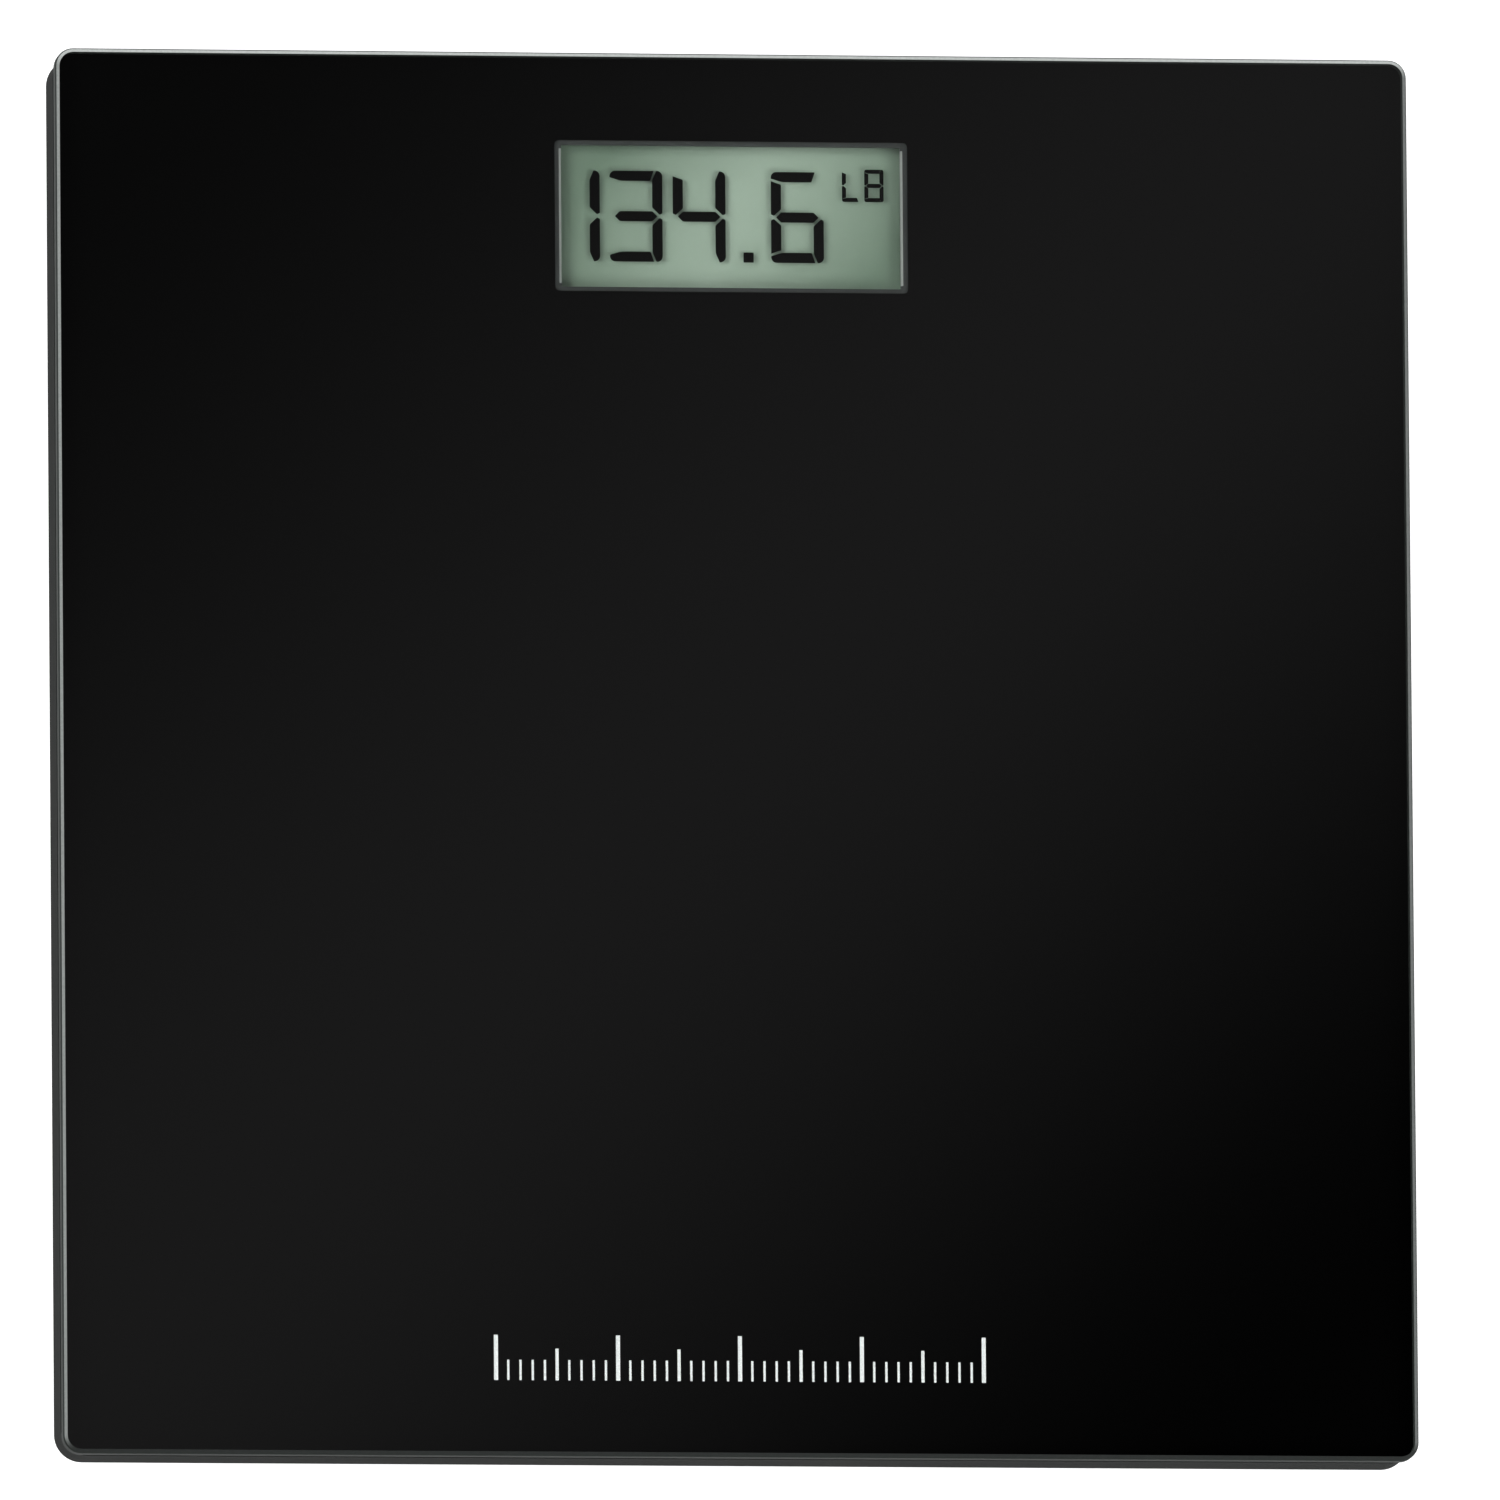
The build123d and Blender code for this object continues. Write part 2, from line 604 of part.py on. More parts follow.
def tact_switch():
    low = board_bottom - SWITCH_HEIGHT
    body = block(SWITCH_SIZE, SWITCH_SIZE, low, board_bottom, BUTTON_X, button_y, 0.4)
    depth = PLUNGER_LENGTH - PLUNGER_STAND + BUTTON_TRAVEL + 0.2
    return body - disc(PLUNGER_RADIUS + 0.1, low, low + depth, BUTTON_X, button_y)


def switch_plunger():
    low = board_bottom - SWITCH_HEIGHT - PLUNGER_STAND
    return disc(PLUNGER_RADIUS, low, low + PLUNGER_LENGTH, BUTTON_X, button_y)


def unit_button():
    flange_low = floor_top + BUTTON_GAP
    flange_high = flange_low + BUTTON_FLANGE_THICKNESS
    plunger_low = board_bottom - SWITCH_HEIGHT - PLUNGER_STAND
    cap = disc(BUTTON_RADIUS, tray_bottom + BUTTON_SINK, flange_high, BUTTON_X, button_y)
    cap = fillet(cap.faces().sort_by(Axis.Z)[0].edges(), 0.4)
    cap += disc(BUTTON_RADIUS + BUTTON_FLANGE, flange_low, flange_high, BUTTON_X, button_y)
    return cap + disc(2.0, flange_high, plunger_low, BUTTON_X, button_y)


# Battery


def coin_cell():
    can = disc(COIN_RADIUS, coin_bottom, coin_top - 0.4, 0, battery_y)
    can = fillet(can.faces().sort_by(Axis.Z)[0].edges(), 0.4)
    return can + disc(COIN_RADIUS - 1.4, coin_top - 0.4, coin_top, 0, battery_y)


def contact(points):
    """A bent strip of spring sheet whose middle line runs through the points, seen from the front."""
    strip = trace(Polyline(*points), line_width=CONTACT_SHEET)
    return Pos(0, battery_y + CONTACT_WIDTH / 2) * extrude(Plane.XZ * strip, CONTACT_WIDTH)


def battery_contact_positive():
    touch = COIN_RADIUS + CONTACT_SHEET / 2
    points = [
        (touch, coin_bottom + 0.3),
        (touch, coin_top),
        (positive_tab_x, coin_top + 0.6),
        (positive_tab_x, contact_tab_top),
    ]
    return contact(points)


def battery_contact_negative():
    roof = battery_roof - CONTACT_SHEET / 2
    touch = coin_top + CONTACT_SHEET / 2 + 0.02
    points = [
        (negative_tab_x, contact_tab_top),
        (negative_tab_x, roof),
        (0.3 * COIN_RADIUS, roof),
        (0.7 * COIN_RADIUS, touch),
    ]
    return contact(points)


def battery_door():
    front = hinge_y
    plate = block(door_width, door_back - front, door_bottom, door_top, 0, (front + door_back) / 2)
    barrel = Pos(0, hinge_y, hinge_z) * Rot(0, 90, 0) * Cylinder(HINGE_BARREL, door_width)
    pins = Pos(0, hinge_y, hinge_z) * Rot(0, 90, 0) * Cylinder(HINGE_PIN, door_width + 2 * HINGE_PIN_LENGTH)
    door = plate + barrel + pins
    door += block(LATCH_WIDTH, 1.0, door_top, door_top + 2.5, 0, door_back - 1.9)
    door += block(LATCH_WIDTH, 0.5, door_top + 1.6, door_top + 2.3, 0, door_back - 1.15)
    for i in range(5):
        door -= block(16, 0.8, door_bottom, door_bottom + 0.4, 0, door_back - 3 - 1.8 * i)
    return door


# Wires


def wire(points, bends):
    """A round wire along straight runs joined by arcs."""
    route = FilletPolyline(*points, radius=bends)
    return sweep(Plane(origin=route @ 0, z_dir=route % 0) * Circle(WIRE_RADIUS), path=route)


def cell_wire(x, y, lane):
    """One wire from a cell's gauge to the underside of the board; lane is -1, 0 or 1 across the bundle."""
    inward = -1 if x > 0 else 1
    shift = lane * WIRE_PITCH
    start = y + wire_y + shift
    out_z = cell_top + WIRE_RADIUS + 0.15
    points = [
        (x + inward * 4.0, start, out_z),
        (x + inward * (holder_size / 2 + 3), start, out_z),
        (x + inward * (holder_size / 2 + 9), start, wire_floor),
    ]
    bends = [WIRE_BEND * 3, WIRE_BEND * 2]
    if y < 0:
        run_x = -inward * (WIRE_RUN_X + shift)
        landing_y = board_front + WIRE_LANDING + shift
        points += [(run_x, start, wire_floor), (run_x, landing_y, wire_floor)]
        points += [(-inward * 34.0, landing_y, wire_floor), (-inward * 34.0, landing_y, board_bottom)]
        bends += [8.0, 8.0, WIRE_BEND]
    else:
        landing_x = -inward * (BOARD_WIDTH / 2 - 4.0)
        points += [(landing_x, start, wire_floor), (landing_x, start, board_bottom)]
        bends += [WIRE_BEND]
    return wire(points, bends)


def cell_wires(lane):
    return [cell_wire(x, y, lane) for x, y in corners.values()]


def battery_wire(x):
    """From a contact's tab to the top of the board's front edge."""
    low = contact_tab_top + WIRE_RADIUS
    high = board_top + WIRE_RADIUS
    points = [
        (x, battery_y, low),
        (x, board_front - 8, low),
        (x, board_front - 3, high),
        (x, board_front + 3, high),
    ]
    return wire(points, [6.0, 4.0])


def save(node, pieces):
    """Write one node's solids to its own file."""
    pieces = pieces if isinstance(pieces, list) else [pieces]
    solids = [solid for piece in pieces for solid in piece.solids()]
    export_step(Compound(solids) if len(solids) > 1 else solids[0], f"parts/{node}.step")


def main():
    os.makedirs("parts", exist_ok=True)
    ticks = graduation_marks()
    save("glass_platform", glass_platform())
    save("graduation_marks", ticks)
    save("black_backprint", black_backprint(ticks))
    save("bonding_tape", bonding_tape())
    save("base_tray", base_tray())
    for corner, (x, y) in corners.items():
        save(f"load_cell_{corner}", load_cell(x, y))
        save(f"gauge_coating_{corner}", gauge_coating(x, y))
        save(f"cell_holder_{corner}", cell_holder(x, y))
        save(f"foot_cup_{corner}", foot_cup(x, y))
        save(f"foot_pad_{corner}", foot_pad(x, y))
    save("display_gasket", display_gasket())
    save("display_bezel", display_bezel())
    save("lcd_front_polariser", lcd_front_polariser())
    save("lcd_front_glass", lcd_front_glass())
    save("lcd_segments", lcd_segments())
    save("lcd_edge_seal", lcd_edge_seal())
    save("lcd_rear_glass", lcd_rear_glass())
    save("lcd_reflector", lcd_reflector())
    save("zebra_strips", zebra_strips())
    save("circuit_board", circuit_board())
    save("board_screws", board_screws())
    save("chip_coating", chip_coating())
    save("converter_chip", converter_chip())
    save("board_resistors", board_resistors())
    save("clock_crystal", clock_crystal())
    save("tact_switch", tact_switch())
    save("switch_plunger", switch_plunger())
    save("unit_button", unit_button())
    save("coin_cell", coin_cell())
    save("battery_contact_positive", battery_contact_positive())
    save("battery_contact_negative", battery_contact_negative())
    save("battery_door", battery_door())
    save("cell_wires_red", cell_wires(-1))
    save("cell_wires_black", cell_wires(0))
    save("cell_wires_white", cell_wires(1))
    save("battery_wire_red", battery_wire(positive_tab_x))
    save("battery_wire_black", battery_wire(negative_tab_x))


main()
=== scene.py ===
import json
import math

import bmesh
import bpy
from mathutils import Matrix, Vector

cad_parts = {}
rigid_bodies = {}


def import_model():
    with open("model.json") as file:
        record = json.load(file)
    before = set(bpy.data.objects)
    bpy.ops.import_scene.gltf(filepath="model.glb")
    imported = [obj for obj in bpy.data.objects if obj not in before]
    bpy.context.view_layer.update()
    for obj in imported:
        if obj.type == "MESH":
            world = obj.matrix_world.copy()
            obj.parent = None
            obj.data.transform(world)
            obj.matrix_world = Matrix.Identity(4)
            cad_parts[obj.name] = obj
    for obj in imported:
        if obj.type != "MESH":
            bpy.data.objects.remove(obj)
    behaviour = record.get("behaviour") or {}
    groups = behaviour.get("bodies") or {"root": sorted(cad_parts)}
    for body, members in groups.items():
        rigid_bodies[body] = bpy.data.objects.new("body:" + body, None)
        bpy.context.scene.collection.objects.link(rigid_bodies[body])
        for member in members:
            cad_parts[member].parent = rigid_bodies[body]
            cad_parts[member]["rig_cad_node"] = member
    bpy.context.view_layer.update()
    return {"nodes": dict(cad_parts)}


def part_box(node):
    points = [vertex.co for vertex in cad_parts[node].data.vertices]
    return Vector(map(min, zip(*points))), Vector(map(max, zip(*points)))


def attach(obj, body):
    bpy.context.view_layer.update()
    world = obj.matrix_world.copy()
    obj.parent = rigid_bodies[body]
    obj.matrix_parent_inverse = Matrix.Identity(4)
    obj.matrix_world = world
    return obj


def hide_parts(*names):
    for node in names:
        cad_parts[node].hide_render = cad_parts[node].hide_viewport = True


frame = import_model()


# ---- Base tray ---------------------------------------------------------------
# The tray is one shallow injection moulding in dark grey ABS. The mould was
# spark eroded, so every outer face has a fine even grain and a dull shine.

def put(tree, kind, values=None, **settings):
    """Adds a shader node. A value that is a socket is linked, any other is set."""
    node = tree.nodes.new("ShaderNode" + kind)
    for name, value in settings.items():
        setattr(node, name, value)
    for name, value in (values or {}).items():
        if isinstance(value, bpy.types.NodeSocket):
            tree.links.new(value, node.inputs[name])
        else:
            node.inputs[name].default_value = value
    return node


def place_on_piece(tree):
    """Where each point lies on the piece, in metres."""
    return put(tree, "TexCoord").outputs["Object"]


def noise(tree, where, per_metre, detail=2.0, roughness=0.5):
    """Soft noise from 0 to 1, with so many spots per metre."""
    spots = {"Vector": where, "Scale": per_metre, "Detail": detail, "Roughness": roughness}
    return put(tree, "TexNoise", spots).outputs["Fac"]


def blend_colours(tree, share, first, second):
    """The colour between first and second, by share."""
    node = put(tree, "Mix", {0: share, 6: first, 7: second}, data_type="RGBA")
    return node.outputs[2]


def shade(tree, colour, factor):
    """The colour, made lighter or darker by factor."""
    return put(tree, "VectorMath", {0: colour, "Scale": factor}, operation="SCALE").outputs[0]


def bump(tree, height, depth):
    """The normal of a surface that rises by height times depth, in metres."""
    return put(tree, "Bump", {"Height": height, "Distance": depth}).outputs["Normal"]


def reckon(tree, operation, first, second=0.0, third=0.0):
    """The result of one sum on numbers."""
    return put(tree, "Math", {0: first, 1: second, 2: third}, operation=operation).outputs[0]


def ramp(tree, value, low, high, out_low=0.0, out_high=1.0):
    """The value, stretched smoothly from low..high to out_low..out_high."""
    node = put(
        tree, "MapRange",
        {"Value": value, "From Min": low, "From Max": high, "To Min": out_low, "To Max": out_high},
        interpolation_type="SMOOTHSTEP",
    )
    return node.outputs["Result"]


def rgb(red, green, blue):
    return (red, green, blue, 1.0)


def new_group(name, sockets_in, sockets_out):
    """An empty shader group, with its input and output nodes."""
    group = bpy.data.node_groups.new(name, "ShaderNodeTree")
    for label, kind, value in sockets_in:
        group.interface.new_socket(label, in_out="INPUT", socket_type="NodeSocket" + kind)
        group.interface.items_tree[label].default_value = value
    for label, kind in sockets_out:
        group.interface.new_socket(label, in_out="OUTPUT", socket_type="NodeSocket" + kind)
    return group, group.nodes.new("NodeGroupInput"), group.nodes.new("NodeGroupOutput")


def new_finish(name):
    """A material with one Principled shader: the material, its tree and the shader."""
    finish = bpy.data.materials.new(name)
    finish.use_nodes = True
    return finish, finish.node_tree, finish.node_tree.nodes["Principled BSDF"]


def cover(finish, group, values):
    """Gives a material the colour, roughness and normal that a group puts out."""
    tree = finish.node_tree
    shader = tree.nodes["Principled BSDF"]
    node = tree.nodes.new("ShaderNodeGroup")
    node.node_tree = group
    for name, value in values.items():
        node.inputs[name].default_value = value
    tree.links.new(node.outputs["Colour"], shader.inputs["Base Color"])
    tree.links.new(node.outputs["Roughness"], shader.inputs["Roughness"])
    tree.links.new(node.outputs["Normal"], shader.inputs["Normal"])


def put_out(group, result, colour, roughness, normal):
    """Links a group's three results to its output node."""
    group.links.new(colour, result.inputs["Colour"])
    group.links.new(roughness, result.inputs["Roughness"])
    group.links.new(normal, result.inputs["Normal"])


def dress(finish, *nodes):
    """Gives CAD nodes a finish, in every slot that they have."""
    for name in nodes:
        piece = frame["nodes"][name]
        if not piece.material_slots:
            piece.data.materials.append(finish)
        for place in piece.material_slots:
            place.material = finish


def make_moulded_grain():
    """Fine grain of a textured mould, with the faint cloudiness of its plastic."""
    group, given, result = new_group(
        "moulded grain",
        (
            ("Colour", "Color", rgb(0.5, 0.5, 0.5)),
            ("Cloudiness", "Float", 0.1),
            ("Grain per metre", "Float", 3000.0),
            ("Depth", "Float", 0.00003),
            ("Roughness", "Float", 0.5),
            ("Roughness spread", "Float", 0.08),
        ),
        (("Colour", "Color"), ("Roughness", "Float"), ("Normal", "Vector")),
    )
    where = place_on_piece(group)
    grain = noise(group, where, given.outputs["Grain per metre"], roughness=0.6)
    cloud = noise(group, where, 22.0, detail=3.0)
    speck = noise(group, where, 900.0, detail=1.0)
    lift = reckon(group, "MULTIPLY_ADD", cloud, 0.7, reckon(group, "MULTIPLY", speck, 0.3))
    lift = reckon(group, "SUBTRACT", lift, 0.5)
    lift = reckon(group, "MULTIPLY", lift, given.outputs["Cloudiness"])
    factor = reckon(group, "MULTIPLY_ADD", lift, 2.0, 1.0)
    rough = reckon(group, "MULTIPLY_ADD", reckon(group, "SUBTRACT", grain, 0.5),
                   given.outputs["Roughness spread"], given.outputs["Roughness"])
    put_out(group, result, shade(group, given.outputs["Colour"], factor), rough,
            bump(group, grain, given.outputs["Depth"]))
    return group


moulded_grain = make_moulded_grain()


def make_plastic(name, colour, cloudiness, grain, depth, roughness, gloss=0.5):
    """Moulded plastic or rubber with a grain of its own."""
    finish, tree, shader = new_finish(name)
    cover(finish, moulded_grain, {
        "Colour": colour, "Cloudiness": cloudiness, "Grain per metre": grain,
        "Depth": depth, "Roughness": roughness,
    })
    shader.inputs["Specular IOR Level"].default_value = gloss
    return finish


TRAY_COLOUR = rgb(0.012, 0.013, 0.0122)
tray_abs = make_plastic("tray_abs", TRAY_COLOUR, 0.3, 3200.0, 0.00004, 0.65, gloss=0.012)
dress(tray_abs, "base_tray")


# ---- Rating label ------------------------------------------------------------
# A blank silver polyester label with a thin printed frame lies in a shallow
# recess under the tray, where the rating plate goes.

LABEL_SIZE = (0.068, 0.028, 0.00012)
LABEL_MIDDLE = (0.0, -0.03475, 0.00364)
LABEL_CORNER = 0.002
LABEL_CORNER_STEPS = 6
LABEL_FRAME_IN = 0.0015
LABEL_FRAME_WIDE = 0.0004


def only(piece):
    """Deselects everything and makes one piece the active one."""
    bpy.ops.object.select_all(action="DESELECT")
    piece.select_set(True)
    bpy.context.view_layer.objects.active = piece


def shape(piece):
    """Enters edit mode on a piece with nothing in it selected."""
    only(piece)
    bpy.ops.object.mode_set(mode="EDIT")
    bpy.ops.mesh.select_all(action="DESELECT")


def pick(piece, kind, wanted):
    """Selects, in edit mode, just the faces or edges that wanted is true of."""
    mesh = bmesh.from_edit_mesh(piece.data)
    bpy.ops.mesh.select_mode(type=kind)
    bpy.ops.mesh.select_all(action="DESELECT")
    for part in (mesh.faces if kind == "FACE" else mesh.edges):
        if wanted(part):
            part.select_set(True)
    bmesh.update_edit_mesh(piece.data)


def done(piece, smooth_degrees=35.0):
    """Leaves edit mode, puts the piece's place in its mesh and smooths it."""
    bpy.ops.mesh.select_mode(type="VERT")
    bpy.ops.object.mode_set(mode="OBJECT")
    only(piece)
    bpy.ops.object.transform_apply(location=True, rotation=True, scale=True)
    bpy.ops.object.shade_smooth_by_angle(angle=math.radians(smooth_degrees))


def name_piece(name, body, *replaced, slot=None):
    """Names the active object as a finished piece that rides on a body."""
    piece = bpy.context.view_layer.objects.active
    piece.name = name
    piece.data.name = name
    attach(piece, body)
    if replaced:
        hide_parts(*replaced)
    return piece


def edge_middle(edge):
    return (edge.verts[0].co + edge.verts[1].co) / 2


def upright(edge):
    """True of an edge that runs straight up and down."""
    run = edge.verts[0].co - edge.verts[1].co
    return abs(run.z) > 0.9 * run.length


def add_block(name, body, low, high, *replaced, slot=None):
    """Starts a piece as a block between two corners."""
    bpy.ops.object.select_all(action="DESELECT")
    bpy.ops.mesh.primitive_cube_add(size=1.0, location=(low + high) / 2)
    block = name_piece(name, body, *replaced, slot=slot)
    block.dimensions = high - low
    bpy.context.view_layer.update()
    bpy.ops.object.transform_apply(location=True, rotation=True, scale=True)
    return block


def add_rating_label():
    """The label's plate, with its corners rounded and a thin frame printed near its edge."""
    middle = Vector(LABEL_MIDDLE)
    half = Vector(LABEL_SIZE) / 2
    label = add_block("rating_label", "root", middle - half, middle + half)
    for finish in (
        make_plastic("silver_polyester", rgb(0.42, 0.43, 0.44), 0.05, 4000.0, 0.000004, 0.38),
        make_plastic("label_frame_ink", rgb(0.02, 0.02, 0.02), 0.1, 4000.0, 0.000002, 0.5),
    ):
        label.data.materials.append(finish)
    shape(label)
    pick(label, "EDGE", upright)
    bpy.ops.mesh.bevel(offset=LABEL_CORNER, segments=LABEL_CORNER_STEPS, affect="EDGES")
    pick(label, "FACE", lambda face: face.normal.z < -0.9)
    for wide, ink in ((LABEL_FRAME_IN, 1), (LABEL_FRAME_WIDE, 0)):
        bpy.ops.mesh.inset(thickness=wide)
        label.active_material_index = ink
        bpy.ops.object.material_slot_assign()
    done(label)


add_rating_label()


# ---- Load cells --------------------------------------------------------------
# Each corner's cell is stamped from 2 mm spring steel and zinc plated. Its
# strain gauge is covered with white silicone, and a natural ABS holder clips
# the cell to the tray.

CORNERS = ("front_left", "front_right", "back_left", "back_right")


def make_rolled_metal():
    """Rolling lines, and the slight mottling of a thin plated coat."""
    group, given, result = new_group(
        "rolled metal",
        (
            ("Colour", "Color", rgb(0.6, 0.6, 0.6)),
            ("Mottling", "Float", 0.15),
            ("Line depth", "Float", 0.00001),
            ("Roughness", "Float", 0.35),
        ),
        (("Colour", "Color"), ("Roughness", "Float"), ("Normal", "Vector")),
    )
    where = place_on_piece(group)
    drawn = put(group, "Mapping", {"Vector": where, "Scale": (120.0, 6000.0, 2500.0)})
    lines = noise(group, drawn.outputs["Vector"], 1.0, detail=3.0)
    mottle = noise(group, where, 260.0, detail=4.0)
    lift = reckon(group, "SUBTRACT", mottle, 0.5)
    lift = reckon(group, "MULTIPLY", lift, given.outputs["Mottling"])
    factor = reckon(group, "MULTIPLY_ADD", lift, 2.0, 1.0)
    rough = reckon(group, "SUBTRACT", lines, 0.5)
    rough = reckon(group, "MULTIPLY_ADD", rough, 0.3, given.outputs["Roughness"])
    put_out(group, result, shade(group, given.outputs["Colour"], factor), rough,
            bump(group, lines, given.outputs["Line depth"]))
    return group


rolled_metal = make_rolled_metal()


def make_metal(name, colour, mottling, line_depth, roughness):
    """Rolled or stamped sheet metal."""
    finish, tree, shader = new_finish(name)
    cover(finish, rolled_metal, {
        "Colour": colour, "Mottling": mottling, "Line depth": line_depth, "Roughness": roughness,
    })
    shader.inputs["Metallic"].default_value = 1.0
    return finish


zinc_plated_steel = make_metal("zinc_plated_steel", rgb(0.58, 0.59, 0.6), 0.22, 0.00001, 0.32)
gauge_silicone = make_plastic("gauge_silicone", rgb(0.8, 0.8, 0.77), 0.06, 700.0, 0.00004, 0.3)
natural_abs = make_plastic("natural_abs", rgb(0.62, 0.61, 0.56), 0.08, 2200.0, 0.00002, 0.45)
for corner in CORNERS:
    dress(zinc_plated_steel, "load_cell_" + corner)
    dress(gauge_silicone, "gauge_coating_" + corner)
    dress(natural_abs, "cell_holder_" + corner)


# ---- Feet --------------------------------------------------------------------
# A black nylon cup carries the tongue of each cell. A soft rubber pad with two
# moulded ring grooves, which keep it from sliding, is pressed into the cup.

PAD_SIDES = 96
PAD_BEVEL = 0.0004
TREAD_DEPTH = 0.0005
TREAD_RINGS = ((0.83, 0.72), (0.44, 0.33))

foot_nylon = make_plastic("foot_nylon", rgb(0.018, 0.018, 0.019), 0.2, 2600.0, 0.00002, 0.42)
PAD_COLOUR = rgb(0.06, 0.06, 0.063)
pad_rubber = make_plastic("pad_rubber", PAD_COLOUR, 0.3, 1500.0, 0.00005, 0.78, gloss=0.35)
for corner in CORNERS:
    dress(foot_nylon, "foot_cup_" + corner)
    dress(pad_rubber, "foot_pad_" + corner)


def pad_middle(corner):
    low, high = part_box("foot_pad_" + corner)
    return (low + high) / 2


def name_pad(corner):
    """Names the active object as the pad of one corner."""
    name_piece("rubber_pad_" + corner, "foot_" + corner, "foot_pad_" + corner, slot="foot_rubber")


def from_axis(point):
    """How far a point of the pad lies from the pad's middle, seen from below."""
    return math.hypot(point.x, point.y)


def turn_foot_pad(corner):
    """Turns one pad, with its two ring grooves and its eased rim."""
    low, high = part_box("foot_pad_" + corner)
    radius = (high.x - low.x) / 2
    height = high.z - low.z
    bpy.ops.object.select_all(action="DESELECT")
    bpy.ops.mesh.primitive_cylinder_add(
        vertices=PAD_SIDES, radius=radius, depth=height, location=pad_middle(corner))
    pad = bpy.context.view_layer.objects.active
    shape(pad)
    pick(pad, "FACE", lambda face: face.normal.z < -0.9)
    inner = radius
    for outer_share, inner_share in TREAD_RINGS:
        bpy.ops.mesh.inset(thickness=inner - radius * outer_share, depth=0.0)
        bpy.ops.mesh.inset(thickness=radius * (outer_share - inner_share), depth=0.0)
        inner = radius * inner_share
    for outer_share, inner_share in TREAD_RINGS:
        pick(pad, "FACE", lambda face: face.normal.z < -0.9 and len(face.verts) == 4
             and inner_share < from_axis(face.calc_center_median()) / radius < outer_share)
        bpy.ops.mesh.extrude_region_move(TRANSFORM_OT_translate={"value": (0, 0, TREAD_DEPTH)})
    pick(pad, "EDGE", lambda edge: abs(edge_middle(edge).z + height / 2) < 1e-6
         and from_axis(edge_middle(edge)) > radius * 0.97 and len(edge.link_faces) == 2)
    bpy.ops.mesh.bevel(offset=PAD_BEVEL, segments=3, affect="EDGES")
    done(pad, 40.0)
    pad.data.materials.append(pad_rubber)
    return pad


first_corner = CORNERS[0]
first_pad = turn_foot_pad(first_corner)
for corner in CORNERS[1:]:
    only(first_pad)
    bpy.ops.object.duplicate_move(
        OBJECT_OT_duplicate={"linked": False},
        TRANSFORM_OT_translate={"value": pad_middle(corner) - pad_middle(first_corner)},
    )
    bpy.ops.object.transform_apply(location=True, rotation=True, scale=True)
    name_pad(corner)
only(first_pad)
name_pad(first_corner)


# ---- Unit button -------------------------------------------------------------
# A small light grey ABS button comes out through a hole in the tray's floor. It
# presses the nylon plunger of the tact switch, which is soldered to the board.

button_abs = make_plastic("button_abs", rgb(0.4, 0.41, 0.41), 0.06, 3000.0, 0.00002, 0.4)
switch_nylon = make_plastic("switch_nylon", rgb(0.02, 0.02, 0.02), 0.1, 3000.0, 0.00001, 0.4)
dress(button_abs, "unit_button")
dress(switch_nylon, "switch_plunger")
switch_can = make_metal("switch_can", rgb(0.7, 0.7, 0.68), 0.1, 0.000005, 0.3)
dress(switch_can, "tact_switch")


# ---- Battery and door --------------------------------------------------------
# One lithium coin cell lies between two nickel-plated spring contacts. The
# door is moulded in the tray's plastic, turns on two pins and snaps shut.

nickel_plate = make_metal("nickel_plate", rgb(0.72, 0.69, 0.62), 0.1, 0.000008, 0.25)
dress(nickel_plate, "battery_contact_positive", "battery_contact_negative")
coin_cell_steel = make_metal("coin_cell_steel", rgb(0.66, 0.66, 0.65), 0.06, 0.000005, 0.28)
dress(coin_cell_steel, "coin_cell")
DOOR_COLOUR = rgb(0.018, 0.019, 0.018)
door_abs = make_plastic("door_abs", DOOR_COLOUR, 0.2, 3200.0, 0.00003, 0.55, gloss=0.15)
dress(door_abs, "battery_door")


# ---- Circuit board -----------------------------------------------------------
# One glass-epoxy board under green solder mask, held to the tray by four
# screws, with a black blob of epoxy over the converter chip.

TRACK_WIDTH = 0.00018
TRACK_RUN = 0.0046
TRACK_PITCH = 0.0021
TRACK_HEIGHT = 0.00004


def make_solder_mask():
    """Green mask, paler and a little raised over the tracks under it."""
    finish, tree, shader = new_finish("solder_mask")
    where = place_on_piece(tree)
    tracks = put(
        tree, "TexBrick",
        {"Vector": where, "Color1": rgb(0.0, 0.0, 0.0), "Color2": rgb(0.0, 0.0, 0.0),
         "Mortar": rgb(1.0, 1.0, 1.0), "Scale": 1.0, "Mortar Size": TRACK_WIDTH,
         "Mortar Smooth": 0.1, "Brick Width": TRACK_RUN, "Row Height": TRACK_PITCH},
    ).outputs["Color"]
    weave = noise(tree, where, 1800.0, detail=1.0)
    colour = blend_colours(tree, tracks, rgb(0.006, 0.085, 0.03), rgb(0.02, 0.16, 0.05))
    colour = shade(tree, colour, ramp(tree, weave, 0.3, 0.7, 0.85, 1.1))
    tree.links.new(colour, shader.inputs["Base Color"])
    tree.links.new(ramp(tree, weave, 0.2, 0.8, 0.22, 0.32), shader.inputs["Roughness"])
    tree.links.new(bump(tree, tracks, TRACK_HEIGHT), shader.inputs["Normal"])
    return finish


